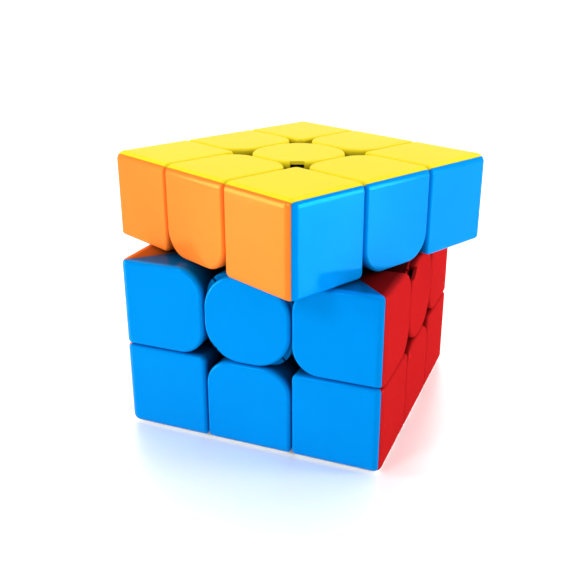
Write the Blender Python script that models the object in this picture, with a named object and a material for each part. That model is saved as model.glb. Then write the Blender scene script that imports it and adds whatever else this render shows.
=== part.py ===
"""Spring-tensioned twisty puzzle cube: a six-armed core carries six sprung centre pieces, and
twelve two-part edges and eight corners hook their feet under one another around it.

Every surface that slides on another is a surface of revolution about a turning axis: flat planes
outside a ball of radius HOOK_R, and cones about the three axes inside it.  Metres, +Z up, the
origin under the middle of the cube.  The top layer stands part-way through a turn.
"""
import math

import bmesh
import bpy
from mathutils import Matrix, Vector

for old in list(bpy.data.objects):
    bpy.data.objects.remove(old, do_unlink=True)

# ---- driving dimensions -------------------------------------------------------------------
CUBE_EDGE = 0.0555            # outside edge of the solved cube
TOP_TURN = math.radians(64.5)  # how far the top layer stands turned, anticlockwise from above
CLEAR = 0.0003                # running clearance between any two neighbouring pieces

WALL = 0.0014                 # wall of the hollow coloured shells
OUTER_FILLET = 0.0018         # round along the outside edges of the cube
FILLET = 0.0007               # soft fillet between a coloured face and its neighbours
CORNER_R = 0.0012             # small radius of the edges that face inwards
EDGE_INNER_R = 0.0055         # large plan radius of an edge face next to the centre
BASE_R = 0.0052               # plan radius of a centre base
NOTCH = 0.0005                # width of the small notch at each corner of a centre base
CAP_STEP = 0.0024             # how much rounder in plan a centre cap is than its base
CAP_T = 0.0015                # thickness of a centre cap's plate
CAP_PLUG = 0.0028             # depth of the cap's snap-in plug
CAP_PLUG_WALL = 0.0012

SCREW_R = 0.0012              # screw shank radius
SCREW_HEAD_R = 0.0025
SCREW_HEAD_T = 0.0016
SCREW_BITE = 0.0065           # length of shank inside the core arm
STEM_WALL = 0.0012            # wall of the tube under a centre base
STEM_FLOOR = 0.0012           # floor that the spring presses on
SPRING_WIRE_R = 0.00035
SPRING_TURNS = 4
SPRING_LEN = 0.0040
SLACK = 0.0006                # room between screw head or spring and the tube round it

BALL_R = 0.0070               # ball in the middle of the core
ARM_R = 0.00375               # radius of a core arm
ARM_END = 0.0115              # reach of a core arm from the middle
NECK = 0.0027                 # depth of neck between a corner's shell and its foot
FOOT_T = 0.00565              # thickness of the hooked feet

ROUND = 20                    # facets round a turned surface
FINE = 12                     # facets round small hardware

# ---- sizes that follow ---------------------------------------------------------------------
PITCH = CUBE_EDGE / 3
HALF = CUBE_EDGE / 2
GRID = PITCH / 2
SIDE = GRID - CLEAR / 2       # half width of a piece on the middle of a face
INNER = GRID + CLEAR / 2      # inner side of a piece at the border of a face
CAP_R = BASE_R + CAP_STEP
HOOK_R = INNER * math.sqrt(3) + NECK   # ball that parts the shells from the feet under them
FOOT_R = HOOK_R - CLEAR / 2 - FOOT_T
STEM_BORE_R = SCREW_HEAD_R + SLACK
STEM_R = STEM_BORE_R + STEM_WALL
CONE = math.acos((STEM_R + 2 * CLEAR) / FOOT_R)
CONE_GAP = CLEAR / (HOOK_R + FOOT_R)
STEM_END = ARM_END + CLEAR
SPRING_FROM = STEM_END + STEM_FLOOR + CLEAR
HEAD_FROM = SPRING_FROM + SPRING_LEN + CLEAR

COLOURS = {
    "top": ("yellow", (0.93, 0.78, 0.035)),
    "bottom": ("white", (0.84, 0.84, 0.82)),
    "front": ("blue", (0.0, 0.29, 0.88)),
    "back": ("green", (0.02, 0.46, 0.09)),
    "right": ("red", (0.72, 0.012, 0.014)),
    "left": ("orange", (0.96, 0.30, 0.028)),
}
AXES = {
    "top": Vector((0, 0, 1)),
    "bottom": Vector((0, 0, -1)),
    "front": Vector((0, -1, 0)),
    "back": Vector((0, 1, 0)),
    "right": Vector((1, 0, 0)),
    "left": Vector((-1, 0, 0)),
}


# ---- materials -----------------------------------------------------------------------------
def material(name, colour, roughness, metallic=0.0):
    mat = bpy.data.materials.new(name)
    mat.use_nodes = True
    shader = mat.node_tree.nodes["Principled BSDF"]
    shader.inputs["Base Color"].default_value = (*colour, 1.0)
    shader.inputs["Roughness"].default_value = roughness
    shader.inputs["Metallic"].default_value = metallic
    return mat


# ---- small solids, all closed and facing out ------------------------------------------------
def finish_mesh(bm, name):
    bmesh.ops.recalc_face_normals(bm, faces=bm.faces)
    mesh = bpy.data.meshes.new(name)
    bm.to_mesh(mesh)
    bm.free()
    return mesh


def loft(rings):
    """A closed solid through rings of equal length, with flat ends."""
    bm = bmesh.new()
    rows = [[bm.verts.new(p) for p in ring] for ring in rings]
    count = len(rows[0])
    for low, high in zip(rows, rows[1:]):
        for i in range(count):
            j = (i + 1) % count
            bm.faces.new((low[i], low[j], high[j], high[i]))
    bm.faces.new(list(reversed(rows[0])))
    bm.faces.new(rows[-1])
    return finish_mesh(bm, "loft")


def lathe(profile, count):
    """A solid turned about Z from (radius, height) points; end points may lie on the axis."""
    bm = bmesh.new()
    rows = []
    for radius, height in profile:
        if radius < 1e-9:
            rows.append([bm.verts.new((0, 0, height))])
            continue
        turn = [math.tau * (k + 0.5) / count for k in range(count)]
        rows.append([bm.verts.new((radius * math.cos(t), radius * math.sin(t), height)) for t in turn])
    for low, high in zip(rows, rows[1:]):
        for i in range(count):
            j = (i + 1) % count
            if len(low) == 1:
                bm.faces.new((low[0], high[j], high[i]))
            elif len(high) == 1:
                bm.faces.new((low[i], low[j], high[0]))
            else:
                bm.faces.new((low[i], low[j], high[j], high[i]))
    if len(rows[0]) > 1:
        bm.faces.new(rows[0])
    if len(rows[-1]) > 1:
        bm.faces.new(rows[-1])
    return finish_mesh(bm, "lathe")


def cylinder(radius, low, high, count=FINE):
    return lathe([(radius, low), (radius, high)], count)


def sector(half_angle, radius, axis, outside=False):
    """A cone with its tip at the centre, capped by a ball; outside keeps its facets clear."""
    steps = max(3, round(half_angle / (math.tau / ROUND)))
    step = half_angle / steps
    grow = 1 / math.cos(math.pi / ROUND) if outside else 1.0
    rise = 1 / math.cos(step / 2) if outside else 1.0
    arc = []
    for k in range(steps, -1, -1):
        a = k * step
        arc.append((radius * rise * grow * math.sin(a) if k else 0.0, radius * rise * math.cos(a)))
    mesh = lathe([(0.0, 0.0)] + arc, ROUND)
    mesh.transform(turn_to(axis))
    return mesh


def ball(radius, outside=False, count=ROUND):
    steps = count // 2
    grow = 1 / math.cos(math.pi / count) if outside else 1.0
    arc = []
    for k in range(steps + 1):
        a = math.pi * k / steps
        flat = 0.0 if k in (0, steps) else radius * grow * grow * math.sin(a)
        arc.append((flat, -radius * grow * math.cos(a)))
    return lathe(arc, count)


def box(low, high):
    bm = bmesh.new()
    bmesh.ops.create_cube(bm, size=1.0)
    for v in bm.verts:
        v.co = Vector([lo + (c + 0.5) * (hi - lo) for c, lo, hi in zip(v.co, low, high)])
    return finish_mesh(bm, "box")


def hull(points):
    """The smallest convex solid round the points, its flat faces whole."""
    bm = bmesh.new()
    for p in points:
        bm.verts.new(p)
    bmesh.ops.remove_doubles(bm, verts=bm.verts, dist=0.0000001)
    bmesh.ops.convex_hull(bm, input=bm.verts)
    loose = [v for v in bm.verts if not v.link_faces]
    bmesh.ops.delete(bm, geom=loose, context="VERTS")
    bmesh.ops.dissolve_limit(bm, angle_limit=0.002, verts=bm.verts, edges=bm.edges)
    return finish_mesh(bm, "hull")


def quarter(steps):
    """(cosine, sine) of evenly spaced angles from zero to a right angle."""
    return [(math.cos(math.pi / 2 * k / steps), math.sin(math.pi / 2 * k / steps))
            for k in range(steps + 1)]


def outline(low, high, radii, inset, segments):
    """Rounded rectangle in plan, moved in by inset; radii run anticlockwise from low, low.

    A radius never takes more than its half of the shorter side.
    """
    room = 0.49 * min(high[0] - low[0], high[1] - low[1])
    corners = [(low[0], low[1]), (high[0], low[1]), (high[0], high[1]), (low[0], high[1])]
    inward = [(1, 1), (-1, 1), (-1, -1), (1, -1)]
    points = []
    for n, ((x, y), (sx, sy), radius) in enumerate(zip(corners, inward, radii)):
        keep = max(min(radius, room) - inset, 0.0002)
        cx = x + sx * (inset + keep)
        cy = y + sy * (inset + keep)
        count = segments[n]
        for k in range(count + 1):
            a = math.pi + math.pi / 2 * (n + k / count)
            points.append((cx + keep * math.cos(a), cy + keep * math.sin(a)))
    return points


def tablet(low, high, radii, bottom, top, inset=0.0, fillet=0.0, segments=(4, 4, 4, 4)):
    """A rounded rectangle raised from bottom to top, with a fillet round its top."""
    levels = [(bottom, 0.0)]
    if fillet:
        for k in range(3):
            a = math.pi / 4 * k
            levels.append((top - fillet + fillet * math.sin(a), fillet - fillet * math.cos(a)))
    else:
        levels.append((top, 0.0))
    return loft([[(x, y, z) for x, y in outline(low, high, radii, inset + extra, segments)]
                 for z, extra in levels])


def turn_to(axis):
    return Vector((0, 0, 1)).rotation_difference(Vector(axis)).to_matrix().to_4x4()


# ---- joining and cutting ---------------------------------------------------------------------
def cut(mesh, other, operation):
    """The exact Boolean of two meshes, as a new mesh."""
    body = bpy.data.objects.new("body", mesh)
    tool = bpy.data.objects.new("tool", other)
    for obj in (body, tool):
        bpy.context.scene.collection.objects.link(obj)
    step = body.modifiers.new("cut", "BOOLEAN")
    step.object = tool
    step.operation = operation
    step.solver = "EXACT"
    bpy.context.view_layer.update()
    seen = body.evaluated_get(bpy.context.evaluated_depsgraph_get())
    made = bpy.data.meshes.new_from_object(seen)
    for obj in (body, tool):
        bpy.data.objects.remove(obj, do_unlink=True)
    return made


def minus(mesh, *others):
    for other in others:
        mesh = cut(mesh, other, "DIFFERENCE")
    return mesh


def both(mesh, *others):
    for other in others:
        mesh = cut(mesh, other, "INTERSECT")
    return mesh


def joined(mesh, *others):
    for other in others:
        mesh = cut(mesh, other, "UNION")
    return mesh


def tidy(mesh):
    """Flat faces made whole again, and no edge shorter than a few microns."""
    bm = bmesh.new()
    bm.from_mesh(mesh)
    bmesh.ops.remove_doubles(bm, verts=bm.verts, dist=0.000004)
    bmesh.ops.dissolve_degenerate(bm, dist=0.000004, edges=bm.edges)
    bmesh.ops.dissolve_limit(bm, angle_limit=0.002, verts=bm.verts, edges=bm.edges)
    bmesh.ops.triangulate(bm, faces=bm.faces, quad_method="BEAUTY", ngon_method="BEAUTY")
    return finish_mesh(bm, "tidy")


# ---- the distinct pieces, each in one home place ----------------------------------------------
def make_core():
    body = ball(BALL_R, count=FINE)
    for axis in AXES.values():
        arm = cylinder(ARM_R, 0.0, ARM_END)
        arm.transform(turn_to(axis))
        body = joined(body, arm)
    for axis in AXES.values():
        bore = cylinder(SCREW_R + CLEAR, ARM_END - SCREW_BITE - CLEAR, ARM_END * 1.2)
        bore.transform(turn_to(axis))
        body = minus(body, bore)
    return tidy(body)


def make_screw():
    """A pan-head screw on Z with a square socket in its head."""
    tip = ARM_END - SCREW_BITE
    top = HEAD_FROM + SCREW_HEAD_T
    soft = SCREW_HEAD_T * 0.3
    body = lathe([(0.0, tip), (SCREW_R, tip + SCREW_R * 0.6), (SCREW_R, HEAD_FROM),
                  (SCREW_HEAD_R, HEAD_FROM), (SCREW_HEAD_R, top - soft),
                  (SCREW_HEAD_R - soft, top), (0.0, top)], FINE)
    socket = SCREW_R * 0.75
    return tidy(minus(body, box((-socket, -socket, top - SCREW_HEAD_T * 0.6), (socket, socket, top * 1.1))))


def make_spring():
    """An open coil on Z with flat-cut wire ends."""
    coil = STEM_BORE_R - CLEAR - SPRING_WIRE_R
    run = SPRING_LEN - 2 * SPRING_WIRE_R
    count = 9 * SPRING_TURNS
    rings = []
    for k in range(count + 1):
        t = math.tau * SPRING_TURNS * k / count
        mid = Vector((coil * math.cos(t), coil * math.sin(t), SPRING_FROM + SPRING_WIRE_R + run * k / count))
        out = Vector((math.cos(t), math.sin(t), 0))
        ring = []
        for n in range(4):
            a = math.tau * n / 4
            ring.append(mid + SPRING_WIRE_R * (math.cos(a) * out + math.sin(a) * Vector((0, 0, 1))))
        rings.append(ring)
    return loft(rings)


def edge_block():
    """The +Y +Z edge down to its middle: two wide inner corners, a round outside edge."""
    points = []
    for side in (-1, 1):
        x = side * (SIDE - EDGE_INNER_R)
        y = INNER + EDGE_INNER_R
        for c, s in quarter(4):
            for ca, sa in quarter(2):
                reach = EDGE_INNER_R - FILLET + FILLET * ca
                points.append((x + side * reach * s, y - reach * c, HALF - FILLET + FILLET * sa))
            points.append((x + side * EDGE_INNER_R * s, y - EDGE_INNER_R * c, 0.0))
        for ca, sa in quarter(2):
            x = side * (SIDE - FILLET + FILLET * sa)
            reach = OUTER_FILLET - FILLET + FILLET * ca
            for c, s in quarter(4):
                points.append((x, HALF - OUTER_FILLET + reach * s, HALF - OUTER_FILLET + reach * c))
            points.append((x, HALF - FILLET + FILLET * ca, 0.0))
    return hull(points)


def corner_block():
    """The +X +Y +Z corner: round along its three outside edges, soft along the other nine."""
    points = []
    outer = HALF - OUTER_FILLET
    inner = INNER + CORNER_R
    for c, s in quarter(2):
        for ct, st in quarter(2):
            points.append([inner - CORNER_R * v for v in (ct * c, ct * s, st)])
    for c, s in quarter(4):
        for ct, st in quarter(4):
            points.append([outer + OUTER_FILLET * v for v in (ct * c, ct * s, st)])
        for ca, sa in quarter(2):
            reach = OUTER_FILLET - FILLET + FILLET * ca
            hook = CORNER_R - FILLET + FILLET * ca
            far = (outer + reach * c, outer + reach * s, INNER + FILLET - FILLET * sa)
            near = (inner - hook * c, inner - hook * s, HALF - FILLET + FILLET * sa)
            for k in range(3):
                points.append(far[k:] + far[:k])
                points.append(near[k:] + near[:k])
    return hull(points)


def make_centre_base():
    """The sprung base on Z: a hooked cup on a tube that slides over the screw."""
    low = (-SIDE, -SIDE)
    high = (SIDE, SIDE)
    radii = (BASE_R,) * 4
    rim = HALF - CAP_T - CLEAR
    block = tablet(low, high, radii, HOOK_R * 0.5, rim)
    block = minus(block, ball(HOOK_R + CLEAR / 2, outside=True))
    block = joined(block, cylinder(STEM_R, STEM_END, HOOK_R + WALL))
    cup = tablet(low, high, radii, HOOK_R + CLEAR / 2 + WALL, HALF * 1.1, inset=WALL,
                 segments=(2, 2, 2, 2))
    block = minus(block, cup)
    for k in range(4):
        notch = box((SIDE * 0.85, -NOTCH / 2, rim - 2 * NOTCH), (SIDE * 2, NOTCH / 2, HALF))
        notch.transform(Matrix.Rotation(math.pi / 4 + math.pi / 2 * k, 4, "Z"))
        block = minus(block, notch)
    block = minus(block, cylinder(STEM_BORE_R, STEM_END + STEM_FLOOR, HALF))
    return tidy(minus(block, cylinder(SCREW_R + CLEAR, STEM_END * 0.9, HALF)))


def make_centre_cap():
    """The coloured lid on Z, with a hollow plug that snaps into the base."""
    low = (-SIDE, -SIDE)
    high = (SIDE, SIDE)
    plate = tablet(low, high, (CAP_R,) * 4, HALF - CAP_T, HALF, fillet=FILLET)
    outer = WALL + CLEAR
    few = (2, 2, 2, 2)
    plug = tablet(low, high, (BASE_R,) * 4, HALF - CAP_T - CAP_PLUG, HALF - CAP_T / 2,
                  inset=outer, segments=few)
    hollow = tablet(low, high, (BASE_R,) * 4, HALF - CAP_T - CAP_PLUG * 1.5, HALF - CAP_T,
                    inset=outer + CAP_PLUG_WALL, segments=few)
    return tidy(minus(joined(plate, plug), hollow))


def beyond(offset):
    """All of space on the Z side of the diagonal plane y = z, moved off it by offset."""
    mesh = box((-1.0, -1.0, 0.0), (1.0, 1.0, 1.0))
    mesh.transform(Matrix.Rotation(math.radians(45), 4, "X"))
    mesh.transform(Matrix.Translation(Vector((0, -1, 1)).normalized() * offset))
    return mesh


def make_edge_half():
    """The half of the +Y +Z edge that carries its +Z colour: shell, neck and half a foot."""
    low = (-SIDE, INNER)
    high = (SIDE, HALF)
    radii = (EDGE_INNER_R, EDGE_INNER_R, CORNER_R, CORNER_R)
    hollow = tablet(low, high, radii, 0.0, HALF - WALL, inset=WALL, segments=(2, 2, 1, 1))
    hollow = minus(hollow, ball(HOOK_R + CLEAR / 2 + WALL, count=FINE))
    shell = minus(both(edge_block(), beyond(CLEAR / 2)), hollow)
    for axis in ("left", "right"):
        shell = minus(shell, sector(CONE + CONE_GAP, HOOK_R + CLEAR / 2, AXES[axis], outside=True))
    foot = sector(CONE - CONE_GAP, HOOK_R - CLEAR / 2, AXES["top"])
    foot = both(foot, sector(CONE - CONE_GAP, HOOK_R - CLEAR / 2, AXES["back"]))
    foot = minus(foot, ball(FOOT_R, outside=True))
    for axis in ("left", "right"):
        foot = minus(foot, sector(CONE + CONE_GAP, HOOK_R * 1.1, AXES[axis], outside=True))
    foot = both(foot, beyond(CLEAR / 2))
    return tidy(joined(shell, foot))


def make_corner():
    """The +X +Y +Z corner: a hollow coloured shell on a drilled stalk with a hooked foot."""
    foot = sector(CONE - CONE_GAP, HOOK_R - CLEAR / 2, AXES["top"])
    for axis in ("back", "right"):
        foot = both(foot, sector(CONE - CONE_GAP, HOOK_R - CLEAR / 2, AXES[axis]))
    foot = minus(foot, ball(FOOT_R, outside=True))
    hollow = box((INNER + WALL,) * 3, (HALF - WALL,) * 3)
    hollow = minus(hollow, ball(HOOK_R + CLEAR / 2 + WALL, count=FINE))
    drill = cylinder(WALL, FOOT_R * 0.9, HOOK_R + 3 * WALL, 8)
    drill.transform(turn_to(Vector((1, 1, 1)).normalized()))
    return tidy(minus(joined(corner_block(), foot), hollow, drill))


# ---- placing --------------------------------------------------------------------------------
def frame_of(x, y, z):
    """The rotation that carries the home axes to these three directions."""
    return Matrix((x, y, z)).transposed().to_4x4()


def pivot(name, parent=None):
    obj = bpy.data.objects.new(name, None)
    obj.empty_display_size = GRID
    bpy.context.scene.collection.objects.link(obj)
    if parent:
        obj.parent = parent
    return obj


def place(name, mesh, turn, mat, parent):
    """One named piece: a copy of the home mesh turned into place under its moving body."""
    own = mesh.copy()
    own.transform(turn)
    own.name = name
    own.materials.clear()
    own.materials.append(mat)
    obj = bpy.data.objects.new(name, own)
    bpy.context.scene.collection.objects.link(obj)
    obj.parent = parent
    return obj


MIDDLE = pivot("middle_layer_body")
MIDDLE.location = (0, 0, HALF)
TOP = pivot("top_layer_body", MIDDLE)
TOP.rotation_euler = (0, 0, TOP_TURN)
BOTTOM = pivot("bottom_layer_body", MIDDLE)


def body_of(*faces):
    if "top" in faces:
        return TOP
    if "bottom" in faces:
        return BOTTOM
    return MIDDLE


PLASTIC = {face: material(colour + "_plastic", rgb, 0.28) for face, (colour, rgb) in COLOURS.items()}
STEEL = material("bright_steel", (0.56, 0.56, 0.57), 0.3, 1.0)
CORE = material("black_core_plastic", (0.025, 0.025, 0.027), 0.45)

place("core", make_core(), Matrix.Identity(4), CORE, MIDDLE)

BASE_MESH = make_centre_base()
CAP_MESH = make_centre_cap()
SCREW_MESH = make_screw()
SPRING_MESH = make_spring()
for face, axis in AXES.items():
    turn = turn_to(axis)
    sprung = pivot(face + "_centre_body", body_of(face))
    place(face + "_screw", SCREW_MESH, turn, STEEL, MIDDLE)
    place(face + "_spring", SPRING_MESH, turn, STEEL, MIDDLE)
    place(face + "_centre_base", BASE_MESH, turn, PLASTIC[face], sprung)
    place(face + "_centre_cap", CAP_MESH, turn, PLASTIC[face], sprung)

HALF_MESH = make_edge_half()
EDGES = [("top", "front"), ("top", "right"), ("top", "back"), ("top", "left"),
         ("front", "right"), ("back", "right"), ("back", "left"), ("front", "left"),
         ("bottom", "front"), ("bottom", "right"), ("bottom", "back"), ("bottom", "left")]
for pair in EDGES:
    for face, other in (pair, pair[::-1]):
        z = AXES[face]
        y = AXES[other]
        name = "_".join(pair) + "_edge_" + COLOURS[face][0] + "_half"
        place(name, HALF_MESH, frame_of(y.cross(z), y, z), PLASTIC[face], body_of(*pair))

CORNER_MESH = make_corner()
for level in ("top", "bottom"):
    for depth in ("front", "back"):
        for side in ("right", "left"):
            x = AXES[side]
            y = AXES[depth]
            z = AXES[level]
            if x.cross(y).dot(z) < 0:
                x, y = y, x
            name = "_".join((level, depth, side, "corner"))
            place(name, CORNER_MESH, frame_of(x, y, z), PLASTIC[level], body_of(level))
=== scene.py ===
"""Looks for the twisty puzzle cube: moulded coloured shells, sprung centres and a plain studio."""
import math

import bmesh
import bpy
from mathutils import Matrix, Vector


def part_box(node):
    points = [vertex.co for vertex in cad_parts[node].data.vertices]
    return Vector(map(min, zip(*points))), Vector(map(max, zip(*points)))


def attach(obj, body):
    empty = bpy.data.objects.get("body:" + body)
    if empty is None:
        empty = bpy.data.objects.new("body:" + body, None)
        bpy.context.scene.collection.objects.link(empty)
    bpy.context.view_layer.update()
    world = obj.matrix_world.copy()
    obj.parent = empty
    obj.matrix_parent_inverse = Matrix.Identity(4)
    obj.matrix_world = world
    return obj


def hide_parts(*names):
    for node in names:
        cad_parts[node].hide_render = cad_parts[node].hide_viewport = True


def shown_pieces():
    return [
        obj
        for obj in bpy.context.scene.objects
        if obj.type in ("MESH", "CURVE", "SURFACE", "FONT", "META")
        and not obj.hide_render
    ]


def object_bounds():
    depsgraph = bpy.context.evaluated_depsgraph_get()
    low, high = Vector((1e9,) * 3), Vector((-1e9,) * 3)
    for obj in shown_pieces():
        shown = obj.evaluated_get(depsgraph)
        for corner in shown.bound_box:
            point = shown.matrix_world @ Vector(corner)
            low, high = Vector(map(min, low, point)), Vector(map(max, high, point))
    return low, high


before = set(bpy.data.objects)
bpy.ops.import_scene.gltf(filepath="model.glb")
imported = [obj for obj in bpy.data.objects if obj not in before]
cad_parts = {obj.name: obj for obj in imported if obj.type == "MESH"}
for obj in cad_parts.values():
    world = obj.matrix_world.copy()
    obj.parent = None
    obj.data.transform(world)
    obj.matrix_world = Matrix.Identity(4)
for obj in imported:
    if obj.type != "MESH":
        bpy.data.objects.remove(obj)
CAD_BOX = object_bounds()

# ---- sizes read from the frame -------------------------------------------------------------
HALF = (CAD_BOX[1].z - CAD_BOX[0].z) / 2
MIDDLE = Vector((0, 0, CAD_BOX[0].z + HALF))
PITCH = HALF * 2 / 3
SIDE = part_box("bottom_centre_cap")[1].x
CLEAR = PITCH - 2 * SIDE
INNER = SIDE + CLEAR

# ---- sizes of the mouldings ----------------------------------------------------------------
WALL = 0.0014
OUTER_R = 0.0018              # round along the cube's outside edges
RIM_R = 0.0007                # round between a face and its neighbour
CORNER_R = 0.0012
EDGE_INNER_R = 0.0055
BASE_R = 0.0052
CAP_R = 0.0076
CAP_T = 0.0015
CAP_PLUG = 0.0028
CAP_PLUG_WALL = 0.0012
PRY_SLOT = 0.0030             # width of the centre cap's trimmed corner
PRY_TRIM = 0.0006             # how far that corner is trimmed back
PRY_LIP = 0.0007              # thickness left over the slot under it
PRY_DEPTH = 0.0040
PRY_EASE = 0.0002             # how much narrower the slot is than the trimmed corner
BASE_RIM_R = 0.00025          # fillet of the centre base's rim
NOTCH = 0.0005
MIN_CORNER_R = 0.0002         # least radius of an outline's corner
SEAM = 0.00003                # half the hairline between two coloured shells

SCREW_R = 0.0012
SCREW_HEAD_R = 0.0025
SCREW_HEAD_T = 0.0016
SCREW_BITE = 0.0065
THREAD_PITCH = 0.0006
THREAD_ROOT = 0.82            # root of the thread as a share of SCREW_R
RECESS_HALF = 0.0016          # half length of the cross recess
RECESS_SLOT_HALF = 0.0003
STEM_WALL = 0.0012
STEM_FLOOR = 0.0012
SPRING_WIRE_R = 0.00035
SPRING_TURNS = 4
SPRING_LEN = 0.0040
SPRING_STEPS = 28             # steps in one turn of the coil
SLACK = 0.0006
BALL_R = 0.0070
ARM_R = 0.00375
ARM_END = 0.0115
ARM_BEVEL = 0.0003
NECK = 0.0027
FOOT_T = 0.00565

HOOK_R = INNER * math.sqrt(3) + NECK
FOOT_R = HOOK_R - CLEAR / 2 - FOOT_T
STEM_BORE_R = SCREW_HEAD_R + SLACK
STEM_R = STEM_BORE_R + STEM_WALL
CONE = math.acos((STEM_R + 2 * CLEAR) / FOOT_R)
CONE_GAP = CLEAR / (HOOK_R + FOOT_R)
STEM_END = ARM_END + CLEAR
SPRING_FROM = STEM_END + STEM_FLOOR + CLEAR
HEAD_FROM = SPRING_FROM + SPRING_LEN + CLEAR
ROUND = 48
FINE = 32
SHARP = math.radians(32)      # creases sharper than this stay sharp
TOUCH = 0.00002               # a distance too small to see

AXES = {
    "top": Vector((0, 0, 1)),
    "bottom": Vector((0, 0, -1)),
    "front": Vector((0, -1, 0)),
    "back": Vector((0, 1, 0)),
    "right": Vector((1, 0, 0)),
    "left": Vector((-1, 0, 0)),
}
COLOURS = {"top": "yellow", "bottom": "white", "front": "blue", "back": "green",
           "right": "red", "left": "orange"}


def top_turn():
    """How far the top layer stands turned: the place of its front right corner's outer edge."""
    points = [v.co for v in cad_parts["top_front_right_corner"].data.vertices]
    reach = max(p.to_2d().length for p in points)
    far = sum((p.to_2d() for p in points if p.to_2d().length > reach - TOUCH), Vector((0, 0)))
    return math.atan2(far.y, far.x) + math.pi / 4


TOP_TURN = top_turn()


# ---- procedural materials ------------------------------------------------------------------
# painted shade: inner walls darken with depth below the coloured face, standing in for the shadow between
# the pieces
SHADE_FROM_DEPTH = 0.0006            # how deep below the coloured face the painted shade on the inner walls begins
SHADE_TO_DEPTH = 0.0020              # how deep the first step of the painted shade is complete
PAINTED_SHADE_TONE = 0.38
DEEP_SHADE_FROM_DEPTH = 0.0090
PAINTED_DEEP_SHADE = 0.06
FLOW_SHADE = 0.965            # tone of the darker flow marks


def plastic(name, colour, roughness=0.14, specular=0.025, metallic=0.1):
    """Smooth injection-moulded plastic: faint flow marks, a fine orange peel, soft scuffing.

    The inner walls are painted darker with their distance from the coloured face: painted shade
    for the shadow that falls in the gaps between the pieces.
    """
    mat = bpy.data.materials.new(name)
    mat.use_nodes = True
    nodes = mat.node_tree.nodes
    link = mat.node_tree.links.new
    shader = nodes["Principled BSDF"]
    where = nodes.new("ShaderNodeTexCoord")

    flow = nodes.new("ShaderNodeTexNoise")
    flow.inputs["Scale"].default_value = 70.0
    flow.inputs["Detail"].default_value = 3.0
    link(where.outputs["Object"], flow.inputs["Vector"])
    tone = nodes.new("ShaderNodeValToRGB")
    tone.color_ramp.elements[0].position = 0.3
    tone.color_ramp.elements[1].position = 0.7
    tone.color_ramp.elements[0].color = (*[c * FLOW_SHADE for c in colour], 1)
    tone.color_ramp.elements[1].color = (*colour, 1)
    link(flow.outputs["Fac"], tone.inputs["Fac"])

    # painted shade: the deeper a point lies below the coloured face, the darker its colour
    inside = nodes.new("ShaderNodeAttribute")
    inside.attribute_name = "depth"
    shade = nodes.new("ShaderNodeValToRGB")
    shade.color_ramp.interpolation = "EASE"
    stops = shade.color_ramp.elements
    stops[0].color = (1, 1, 1, 1)
    stops[1].color = (*[PAINTED_DEEP_SHADE] * 3, 1)
    for at, value in ((SHADE_FROM_DEPTH, 1.0), (SHADE_TO_DEPTH, PAINTED_SHADE_TONE)):
        stop = stops.new(at / HALF)
        stop.color = (value, value, value, 1)
    stops[-1].position = DEEP_SHADE_FROM_DEPTH / HALF
    link(inside.outputs["Fac"], shade.inputs["Fac"])
    # multiplies the painted shade into the base colour
    painted_shade = nodes.new("ShaderNodeMix")
    painted_shade.data_type = "RGBA"
    painted_shade.blend_type = "MULTIPLY"
    painted_shade.inputs["Factor"].default_value = 1.0
    link(tone.outputs["Color"], painted_shade.inputs["A"])
    link(shade.outputs["Color"], painted_shade.inputs["B"])
    link(painted_shade.outputs["Result"], shader.inputs["Base Color"])

    scuff = nodes.new("ShaderNodeTexNoise")
    scuff.inputs["Scale"].default_value = 420.0
    scuff.inputs["Detail"].default_value = 5.0
    link(where.outputs["Object"], scuff.inputs["Vector"])
    matt = nodes.new("ShaderNodeMapRange")
    matt.inputs["To Min"].default_value = roughness - 0.03
    matt.inputs["To Max"].default_value = roughness + 0.05
    link(scuff.outputs["Fac"], matt.inputs["Value"])
    link(matt.outputs["Result"], shader.inputs["Roughness"])

    peel = nodes.new("ShaderNodeTexNoise")
    peel.inputs["Scale"].default_value = 1500.0
    peel.inputs["Detail"].default_value = 2.0
    link(where.outputs["Object"], peel.inputs["Vector"])
    bump = nodes.new("ShaderNodeBump")
    bump.inputs["Strength"].default_value = 0.05
    bump.inputs["Distance"].default_value = 0.00006
    link(peel.outputs["Fac"], bump.inputs["Height"])
    link(bump.outputs["Normal"], shader.inputs["Normal"])

    shader.inputs["Specular Tint"].default_value = (*[c ** 0.5 for c in colour], 1)
    shader.inputs["Specular IOR Level"].default_value = specular
    shader.inputs["Metallic"].default_value = metallic
    return mat


def steel(name):
    """Bright plated steel with fine turned lines."""
    mat = bpy.data.materials.new(name)
    mat.use_nodes = True
    nodes = mat.node_tree.nodes
    link = mat.node_tree.links.new
    shader = nodes["Principled BSDF"]
    where = nodes.new("ShaderNodeTexCoord")
    lines = nodes.new("ShaderNodeTexNoise")
    lines.inputs["Scale"].default_value = 2400.0
    lines.inputs["Detail"].default_value = 6.0
    link(where.outputs["Object"], lines.inputs["Vector"])
    tone = nodes.new("ShaderNodeValToRGB")
    tone.color_ramp.elements[0].color = (0.42, 0.42, 0.43, 1)
    tone.color_ramp.elements[1].color = (0.62, 0.62, 0.63, 1)
    link(lines.outputs["Fac"], tone.inputs["Fac"])
    link(tone.outputs["Color"], shader.inputs["Base Color"])
    matt = nodes.new("ShaderNodeMapRange")
    matt.inputs["To Min"].default_value = 0.22
    matt.inputs["To Max"].default_value = 0.38
    link(lines.outputs["Fac"], matt.inputs["Value"])
    link(matt.outputs["Result"], shader.inputs["Roughness"])
    shader.inputs["Metallic"].default_value = 1.0
    return mat


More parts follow.
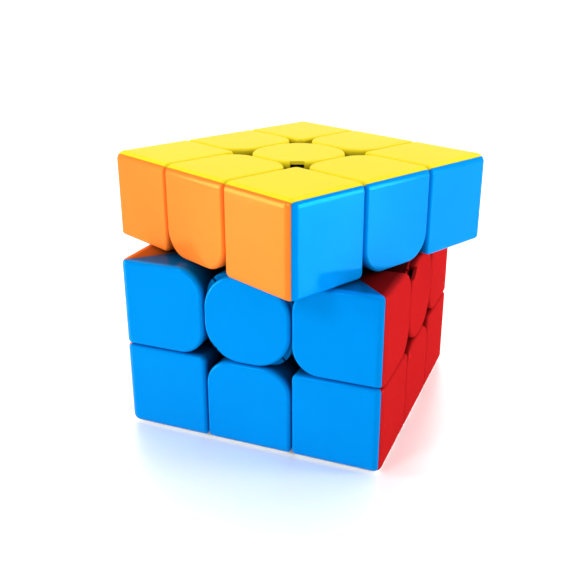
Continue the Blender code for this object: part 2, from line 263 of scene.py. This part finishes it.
PAINT = {
    "yellow": plastic("yellow_moulding", (0.76, 0.615, 0.018), 0.2, 0.01, 0.0),
    "white": plastic("white_moulding", (0.80, 0.80, 0.79)),
    "blue": plastic("blue_moulding", (0.0, 0.238, 0.70)),
    "green": plastic("green_moulding", (0.005, 0.42, 0.06)),
    "red": plastic("red_moulding", (0.415, 0.011, 0.012), specular=0.0),
    "orange": plastic("orange_moulding", (0.88, 0.200, 0.025)),
}
CORE_BLACK = plastic("black_core_moulding", (0.022, 0.022, 0.024), 0.4, 0.5, 0.0)
STEEL = steel("plated_steel")


# ---- small closed solids ---------------------------------------------------------------------
def finished(bm, name):
    bmesh.ops.recalc_face_normals(bm, faces=bm.faces)
    mesh = bpy.data.meshes.new(name)
    bm.to_mesh(mesh)
    bm.free()
    return mesh


def loft(rings):
    bm = bmesh.new()
    rows = [[bm.verts.new(p) for p in ring] for ring in rings]
    count = len(rows[0])
    for low, high in zip(rows, rows[1:]):
        for i in range(count):
            j = (i + 1) % count
            bm.faces.new((low[i], low[j], high[j], high[i]))
    bm.faces.new(list(reversed(rows[0])))
    bm.faces.new(rows[-1])
    return finished(bm, "loft")


def lathe(profile, count):
    bm = bmesh.new()
    rows = []
    for radius, height in profile:
        if radius < 1e-9:
            rows.append([bm.verts.new((0, 0, height))])
            continue
        turn = [math.tau * (k + 0.5) / count for k in range(count)]
        rows.append([bm.verts.new((radius * math.cos(t), radius * math.sin(t), height)) for t in turn])
    for low, high in zip(rows, rows[1:]):
        for i in range(count):
            j = (i + 1) % count
            if len(low) == 1:
                bm.faces.new((low[0], high[j], high[i]))
            elif len(high) == 1:
                bm.faces.new((low[i], low[j], high[0]))
            else:
                bm.faces.new((low[i], low[j], high[j], high[i]))
    if len(rows[0]) > 1:
        bm.faces.new(rows[0])
    if len(rows[-1]) > 1:
        bm.faces.new(rows[-1])
    return finished(bm, "lathe")


def hull(points):
    """The smallest convex solid round the points, its flat faces whole."""
    bm = bmesh.new()
    for p in points:
        bm.verts.new(p)
    bmesh.ops.remove_doubles(bm, verts=bm.verts, dist=1e-7)
    bmesh.ops.convex_hull(bm, input=bm.verts)
    loose = [v for v in bm.verts if not v.link_faces]
    bmesh.ops.delete(bm, geom=loose, context="VERTS")
    bmesh.ops.dissolve_limit(bm, angle_limit=0.002, verts=bm.verts, edges=bm.edges)
    return finished(bm, "hull")


def cylinder(radius, low, high, count=FINE):
    return lathe([(radius, low), (radius, high)], count)


def sector(half_angle, radius, axis):
    steps = max(3, round(half_angle / (math.tau / ROUND)))
    curve = []
    for k in range(steps, -1, -1):
        a = half_angle * k / steps
        curve.append((radius * math.sin(a) if k else 0.0, radius * math.cos(a)))
    mesh = lathe([(0.0, 0.0)] + curve, ROUND)
    mesh.transform(turn_to(axis))
    return mesh


def ball(radius):
    steps = ROUND // 2
    curve = []
    for k in range(steps + 1):
        a = math.pi * k / steps
        flat = 0.0 if k in (0, steps) else radius * math.sin(a)
        curve.append((flat, -radius * math.cos(a)))
    return lathe(curve, ROUND)


def box(low, high):
    bm = bmesh.new()
    bmesh.ops.create_cube(bm, size=1.0)
    for v in bm.verts:
        v.co = Vector([lo + (c + 0.5) * (hi - lo) for c, lo, hi in zip(v.co, low, high)])
    return finished(bm, "box")


def arc(steps, start=0.0, end=90.0):
    """(cosine, sine) of evenly spaced angles, in degrees from start to end."""
    angles = [math.radians(start + (end - start) * k / steps) for k in range(steps + 1)]
    return [(math.cos(a), math.sin(a)) for a in angles]


def outline(low, high, radii, inset, segments):
    corners = [(low[0], low[1]), (high[0], low[1]), (high[0], high[1]), (low[0], high[1])]
    inward = [(1, 1), (-1, 1), (-1, -1), (1, -1)]
    points = []
    for n, ((x, y), (sx, sy), radius) in enumerate(zip(corners, inward, radii)):
        keep = max(radius - inset, MIN_CORNER_R)
        cx = x + sx * (inset + keep)
        cy = y + sy * (inset + keep)
        for k in range(segments + 1):
            a = math.pi + math.pi / 2 * (n + k / segments)
            points.append((cx + keep * math.cos(a), cy + keep * math.sin(a)))
    return points


def tablet(low, high, radii, bottom, top, inset=0.0, fillet=0.0, segments=10, skirt=0.0):
    """A rounded rectangle raised from bottom to top, filleted at its top and skirted at its foot."""
    levels = []
    for c, s in arc(3, 90, 0) if skirt else [(0, 0)]:
        levels.append((bottom + skirt * (1 - s), skirt * (1 - c) if skirt else 0.0))
    for c, s in arc(5) if fillet else [(1, 0)]:
        levels.append((top - fillet * (1 - s), fillet * (1 - c)))
    return loft([[(x, y, z) for x, y in outline(low, high, radii, inset + extra, segments)]
                 for z, extra in levels])


def turn_to(axis):
    return Vector((0, 0, 1)).rotation_difference(Vector(axis)).to_matrix().to_4x4()


# ---- joining and cutting ---------------------------------------------------------------------
def combine(mesh, other, operation):
    body = bpy.data.objects.new("body", mesh)
    tool = bpy.data.objects.new("tool", other)
    for obj in (body, tool):
        bpy.context.scene.collection.objects.link(obj)
    step = body.modifiers.new("cut", "BOOLEAN")
    step.object = tool
    step.operation = operation
    step.solver = "MANIFOLD"
    bpy.context.view_layer.update()
    seen = body.evaluated_get(bpy.context.evaluated_depsgraph_get())
    made = bpy.data.meshes.new_from_object(seen)
    for obj in (body, tool):
        bpy.data.objects.remove(obj, do_unlink=True)
    return made


def minus(mesh, *others):
    for other in others:
        mesh = combine(mesh, other, "DIFFERENCE")
    return mesh


def both(mesh, *others):
    for other in others:
        mesh = combine(mesh, other, "INTERSECT")
    return mesh


def joined(mesh, *others):
    for other in others:
        mesh = combine(mesh, other, "UNION")
    return mesh


def above(normal, offset):
    """All of space beyond the plane through the middle facing normal, moved out by offset."""
    mesh = box((-1.0, -1.0, 0.0), (1.0, 1.0, 1.0))
    mesh.transform(turn_to(Vector(normal).normalized()))
    mesh.transform(Matrix.Translation(Vector(normal).normalized() * offset))
    return mesh


# ---- the distinct mouldings, each in one home place ---------------------------------------------
def edge_block():
    """The +Y +Z edge as its +Z half sees it: soft rims, a round outside edge, two wide corners."""
    points = []
    for sx in (-1, 1):
        cx = sx * (SIDE - EDGE_INNER_R)
        cy = INNER + EDGE_INNER_R
        for c, s in arc(12):
            for ca, sa in arc(4):
                reach = EDGE_INNER_R - RIM_R + RIM_R * ca
                points.append((cx + sx * reach * s, cy - reach * c, HALF - RIM_R + RIM_R * sa))
            points.append((cx + sx * EDGE_INNER_R * s, cy - EDGE_INNER_R * c, 0))
        for ca, sa in arc(4):
            x = sx * (SIDE - RIM_R + RIM_R * sa)
            reach = OUTER_R - RIM_R + RIM_R * ca
            for c, s in arc(8):
                points.append((x, HALF - OUTER_R + reach * s, HALF - OUTER_R + reach * c))
            points.append((x, HALF - RIM_R + RIM_R * ca, 0))
    return hull(points)


def corner_block():
    """The +X +Y +Z corner: round along its three outside edges, soft along the other nine."""
    points = []
    centre = HALF - OUTER_R
    deep = INNER + CORNER_R
    for c, s in arc(8):
        for ct, st in arc(8):
            points.append([centre + OUTER_R * v for v in (ct * c, ct * s, st)])
            points.append([deep - CORNER_R * v for v in (ct * c, ct * s, st)])
        for ca, sa in arc(4):
            reach = OUTER_R - RIM_R + RIM_R * ca
            hook = CORNER_R - RIM_R + RIM_R * ca
            far = (centre + reach * c, centre + reach * s, INNER + RIM_R - RIM_R * sa)
            near = (deep - hook * c, deep - hook * s, HALF - RIM_R + RIM_R * sa)
            for k in range(3):
                points.append(far[k:] + far[:k])
                points.append(near[k:] + near[:k])
    return hull(points)


def feet(*axes):
    foot = sector(CONE - CONE_GAP, HOOK_R - CLEAR / 2, AXES[axes[0]])
    for axis in axes[1:]:
        foot = both(foot, sector(CONE - CONE_GAP, HOOK_R - CLEAR / 2, AXES[axis]))
    return minus(foot, ball(FOOT_R))


def make_edge_half():
    low = (-SIDE, INNER)
    high = (SIDE, HALF)
    radii = (EDGE_INNER_R, EDGE_INNER_R, CORNER_R, CORNER_R)
    hollow = tablet(low, high, radii, 0.0, HALF - WALL, inset=WALL, segments=6)
    hollow = minus(hollow, ball(HOOK_R + CLEAR / 2 + WALL))
    shell = minus(edge_block(), hollow)
    foot = feet("top", "back")
    for axis in ("left", "right"):
        shell = minus(shell, sector(CONE + CONE_GAP, HOOK_R + CLEAR / 2, AXES[axis]))
        foot = minus(foot, sector(CONE + CONE_GAP, HOOK_R * 1.1, AXES[axis]))
    return both(joined(shell, foot), above((0, -1, 1), SEAM))


def make_corner_shell():
    """The third of a corner that carries its +Z colour."""
    shell = both(corner_block(), above((0, -1, 1), SEAM), above((-1, 0, 1), SEAM))
    hollow = box((INNER + WALL,) * 3, (HALF - WALL,) * 3)
    return minus(shell, hollow, ball(HOOK_R + WALL))


def make_corner_stalk():
    """The stalk and foot that a corner's three shells clip to."""
    stalk = both(corner_block(), ball(HOOK_R + WALL - SEAM))
    drill = cylinder(WALL, FOOT_R * 0.9, HOOK_R + 3 * WALL, 24)
    drill.transform(turn_to(Vector((1, 1, 1)).normalized()))
    return minus(joined(stalk, feet("top", "back", "right")), drill)


def make_centre_base():
    low = (-SIDE, -SIDE)
    high = (SIDE, SIDE)
    radii = (BASE_R,) * 4
    rim = HALF - CAP_T - CLEAR / 3
    block = tablet(low, high, radii, HOOK_R * 0.5, rim, fillet=BASE_RIM_R)
    block = minus(block, ball(HOOK_R + CLEAR / 2))
    block = joined(block, cylinder(STEM_R, STEM_END, HOOK_R + WALL))
    cup = tablet(low, high, radii, HOOK_R + CLEAR / 2 + WALL, HALF * 1.1, inset=WALL)
    block = minus(block, cup, cylinder(STEM_BORE_R, STEM_END + STEM_FLOOR, HALF))
    block = minus(block, cylinder(SCREW_R + CLEAR, STEM_END * 0.9, HALF))
    for k in range(4):
        slot = box((SIDE * 0.85, -NOTCH / 2, rim - 2 * NOTCH), (SIDE * 2, NOTCH / 2, HALF))
        slot.transform(Matrix.Rotation(math.radians(45 + 90 * k), 4, "Z"))
        block = minus(block, slot)
    return block


def make_centre_cap():
    low = (-SIDE, -SIDE)
    high = (SIDE, SIDE)
    plate = tablet(low, high, (CAP_R,) * 4, HALF - CAP_T, HALF, fillet=RIM_R, segments=14)
    outer = WALL + CLEAR
    plug = tablet(low, high, (BASE_R,) * 4, HALF - CAP_T - CAP_PLUG, HALF - CAP_T / 2, inset=outer)
    hollow = tablet(low, high, (BASE_R,) * 4, HALF - CAP_T - CAP_PLUG * 1.5, HALF - CAP_T,
                    inset=outer + CAP_PLUG_WALL)
    cap = minus(joined(plate, plug), hollow)
    # one corner is trimmed straight, over a slot that lets a blade lift the cap
    at = CAP_R * (1 - 0.5 ** 0.5) - SIDE
    corner = Matrix.Translation((at, at, 0)) @ Matrix.Rotation(math.radians(-45), 4, "Z")
    for wide, deep, top in ((PRY_SLOT, PRY_TRIM, HALF * 1.1),
                            (PRY_SLOT - PRY_EASE, PRY_DEPTH, HALF - PRY_LIP)):
        cut = box((-wide / 2, -CAP_R, HALF - CAP_T * 1.1), (wide / 2, deep, top))
        cut.transform(corner)
        cap = minus(cap, cut)
    return cap


def make_core():
    body = ball(BALL_R)
    for axis in AXES.values():
        profile = [(ARM_R, 0.0), (ARM_R, ARM_END - ARM_BEVEL), (ARM_R - ARM_BEVEL, ARM_END)]
        arm = lathe(profile, FINE)
        arm.transform(turn_to(axis))
        body = joined(body, arm)
    for axis in AXES.values():
        bore = cylinder(SCREW_R + CLEAR, ARM_END - SCREW_BITE - CLEAR, ARM_END * 1.2)
        bore.transform(turn_to(axis))
        body = minus(body, bore)
    return body


def make_screw():
    tip = ARM_END - SCREW_BITE
    top = HEAD_FROM + SCREW_HEAD_T
    root = SCREW_R * THREAD_ROOT
    profile = [(0.0, tip), (SCREW_R * 0.8, tip + SCREW_R * 0.5)]
    z = tip + SCREW_R * 0.6
    while z < HEAD_FROM - 2 * THREAD_PITCH:
        profile += [(root, z), (SCREW_R, z + THREAD_PITCH * 0.5)]
        z += THREAD_PITCH
    profile += [(root, z), (root, HEAD_FROM), (SCREW_HEAD_R, HEAD_FROM)]
    soft = SCREW_HEAD_T * 0.45
    for c, s in arc(5):
        profile.append((SCREW_HEAD_R - soft + soft * c, top - soft + soft * s))
    profile.append((0.0, top))
    body = lathe(profile, FINE)
    for wide, deep in ((RECESS_HALF, RECESS_SLOT_HALF), (RECESS_SLOT_HALF, RECESS_HALF)):
        body = minus(body, box((-wide, -deep, top - SCREW_HEAD_T * 0.6), (wide, deep, top * 1.1)))
    return body


def make_spring():
    coil = STEM_BORE_R - CLEAR - SPRING_WIRE_R
    run = SPRING_LEN - 2 * SPRING_WIRE_R
    count = SPRING_STEPS * SPRING_TURNS
    rings = []
    for k in range(count + 1):
        t = math.tau * SPRING_TURNS * k / count
        mid = Vector((coil * math.cos(t), coil * math.sin(t), SPRING_FROM + SPRING_WIRE_R + run * k / count))
        out = Vector((math.cos(t), math.sin(t), 0))
        up = Vector((0, 0, 1))
        rings.append([mid + SPRING_WIRE_R * (c * out + s * up) for c, s in arc(10, 0, 360)[:-1]])
    return loft(rings)


# ---- placing ------------------------------------------------------------------------------------
def frame_of(x, y, z):
    return Matrix((x, y, z)).transposed().to_4x4()


def place(name, mesh, turn, mat, body, node):
    """A copy of a home mesh in its place, riding its body and standing for its CAD node."""
    own = mesh.copy()
    layer = Matrix.Rotation(TOP_TURN, 4, "Z") if name.startswith("top_") else Matrix.Identity(4)
    own.transform(Matrix.Translation(MIDDLE) @ layer @ turn)
    own.materials.clear()
    own.materials.append(mat)
    obj = bpy.data.objects.new(name + "_piece", own)
    bpy.context.scene.collection.objects.link(obj)
    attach(obj, body)
    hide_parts(node)


def smooth(mesh):
    """Smooth shading with the creases kept, and each point's depth below the coloured face, which sets the
    painted shade.
    """
    bm = bmesh.new()
    bm.from_mesh(mesh)
    bmesh.ops.dissolve_degenerate(bm, dist=1e-7, edges=bm.edges)
    for face in bm.faces:
        face.smooth = True
    for edge in bm.edges:
        edge.smooth = len(edge.link_faces) == 2 and edge.calc_face_angle(0.0) < SHARP
    bm.to_mesh(mesh)
    bm.free()
    # the depth drives the painted shade on the inner walls
    depth = mesh.attributes.new("depth", "FLOAT", "POINT")
    for v in mesh.vertices:
        depth.data[v.index].value = max(0.0, (HALF - v.co.z) / HALF)
    return mesh


def body_of(names):
    if "top" in names:
        return "top_layer"
    if "bottom" in names:
        return "bottom_layer"
    return "middle_layer"


place("core", smooth(make_core()), Matrix.Identity(4), CORE_BLACK, "middle_layer", "core")
HOME = {
    "centre_base": smooth(make_centre_base()),
    "centre_cap": smooth(make_centre_cap()),
    "screw": smooth(make_screw()),
    "spring": smooth(make_spring()),
}
for face, axis in AXES.items():
    colour = COLOURS[face]
    for kind, mesh in HOME.items():
        inside = kind in ("screw", "spring")
        place(face + "_" + kind, mesh, turn_to(axis), STEEL if inside else PAINT[colour],
              "middle_layer" if inside else face + "_centre",
              face + "_" + kind)

HALF_MESH = smooth(make_edge_half())
EDGES = [("top", "front"), ("top", "right"), ("top", "back"), ("top", "left"),
         ("front", "right"), ("back", "right"), ("back", "left"), ("front", "left"),
         ("bottom", "front"), ("bottom", "right"), ("bottom", "back"), ("bottom", "left")]
for pair in EDGES:
    for face, other in (pair, pair[::-1]):
        z = AXES[face]
        y = AXES[other]
        name = "_".join(pair) + "_edge_" + COLOURS[face] + "_half"
        place(name, HALF_MESH, frame_of(y.cross(z), y, z), PAINT[COLOURS[face]], body_of(pair),
              name)

THIRD_MESH = smooth(make_corner_shell())
STALK_MESH = smooth(make_corner_stalk())
for level in ("top", "bottom"):
    for depth in ("front", "back"):
        for side in ("right", "left"):
            node = "_".join((level, depth, side, "corner"))
            ring = [side, depth, level]
            if AXES[side].cross(AXES[depth]).dot(AXES[level]) < 0:
                ring = [depth, side, level]
            for k in range(3):
                x, y, z = (AXES[ring[(k + n) % 3]] for n in (1, 2, 0))
                colour = COLOURS[ring[k]]
                place(node + "_" + colour + "_shell", THIRD_MESH, frame_of(x, y, z), PAINT[colour],
                      level + "_layer", node)
            x, y, z = (AXES[f] for f in ring)
            place(node + "_stalk", STALK_MESH, frame_of(x, y, z), PAINT[COLOURS[level]],
                  level + "_layer", node)

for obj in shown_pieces():
    if obj.name.endswith("_piece"):
        even = obj.modifiers.new("even_normals", "WEIGHTED_NORMAL")
        even.keep_sharp = True
        even.weight = 100


# ---- studio ----------------------------------------------------------------------------------
def stage_material(name, colour, roughness, metallic):
    mat = bpy.data.materials.new(name)
    mat.use_nodes = True
    shader = mat.node_tree.nodes["Principled BSDF"]
    shader.inputs["Base Color"].default_value = (*colour, 1)
    shader.inputs["Roughness"].default_value = roughness
    shader.inputs["Metallic"].default_value = metallic
    return mat


FLOOR_HALF = 0.42
bm = bmesh.new()
bmesh.ops.create_grid(bm, x_segments=1, y_segments=1, size=FLOOR_HALF)
floor = bpy.data.objects.new("floor", finished(bm, "floor"))
floor.data.materials.append(stage_material("floor_white", (1.14, 1.14, 1.14), 0.4, 0.3))
floor.location = (0, 0, CAD_BOX[0].z - TOUCH)
bpy.context.scene.collection.objects.link(floor)


def softbox(name, place_at, aim, width, height, watts):
    light = bpy.data.lights.new(name, "AREA")
    light.shape = "RECTANGLE"
    light.size = width
    light.size_y = height
    light.energy = watts
    lamp = bpy.data.objects.new(name, light)
    lamp.location = place_at
    lamp.rotation_euler = (Vector(aim) - Vector(place_at)).to_track_quat("-Z", "Y").to_euler()
    bpy.context.scene.collection.objects.link(lamp)


softbox("overhead", (0.0, 0.30, 0.60), MIDDLE, 1.1, 1.1, 5.4)
softbox("front_key", (-0.32, -0.67, 0.54), MIDDLE, 0.20, 0.20, 2.1)
softbox("right_wall", (0.437, 0.110, 0.12), (0, 0, 0.12), 0.11, 0.24, 1.4)
softbox("left_wall", (-0.421, -0.160, 0.12), (0, 0, 0.12), 0.11, 0.24, 1.35)

world = bpy.data.worlds.new("studio")
bpy.context.scene.world = world
world.use_nodes = True
sky = world.node_tree.nodes
up = sky.new("ShaderNodeTexCoord")
height = sky.new("ShaderNodeSeparateXYZ")
fade = sky.new("ShaderNodeMapRange")
fade.inputs["From Min"].default_value = 0.0
fade.inputs["From Max"].default_value = 0.5
fade.inputs["To Min"].default_value = 1.2
fade.inputs["To Max"].default_value = 0.42
world.node_tree.links.new(up.outputs["Generated"], height.inputs["Vector"])
world.node_tree.links.new(height.outputs["Z"], fade.inputs["Value"])
world.node_tree.links.new(fade.outputs["Result"], sky["Background"].inputs["Strength"])
sky["Background"].inputs["Color"].default_value = (1, 1, 1, 1)
bpy.context.scene.view_settings.view_transform = "Standard"

# ---- camera ----------------------------------------------------------------------------------
AZIMUTH = math.radians(22.32)
ELEVATION = math.radians(21.154)
ROLL = math.radians(-0.176)
cam = bpy.data.objects.new("camera", bpy.data.cameras.new("camera"))
cam.data.sensor_width = 36.0
cam.data.lens = 50.988
cam.data.clip_start = 0.01
cam.data.clip_end = 20.0
back = Vector((math.sin(AZIMUTH) * math.cos(ELEVATION), -math.cos(AZIMUTH) * math.cos(ELEVATION),
               math.sin(ELEVATION)))
cam.location = (0.060962, -0.156256, 0.090446)
cam.rotation_mode = "QUATERNION"
cam.rotation_quaternion = (-back).to_track_quat("-Z", "Y") @ Matrix.Rotation(ROLL, 3, "Z").to_quaternion()
bpy.context.scene.collection.objects.link(cam)
bpy.context.scene.camera = cam
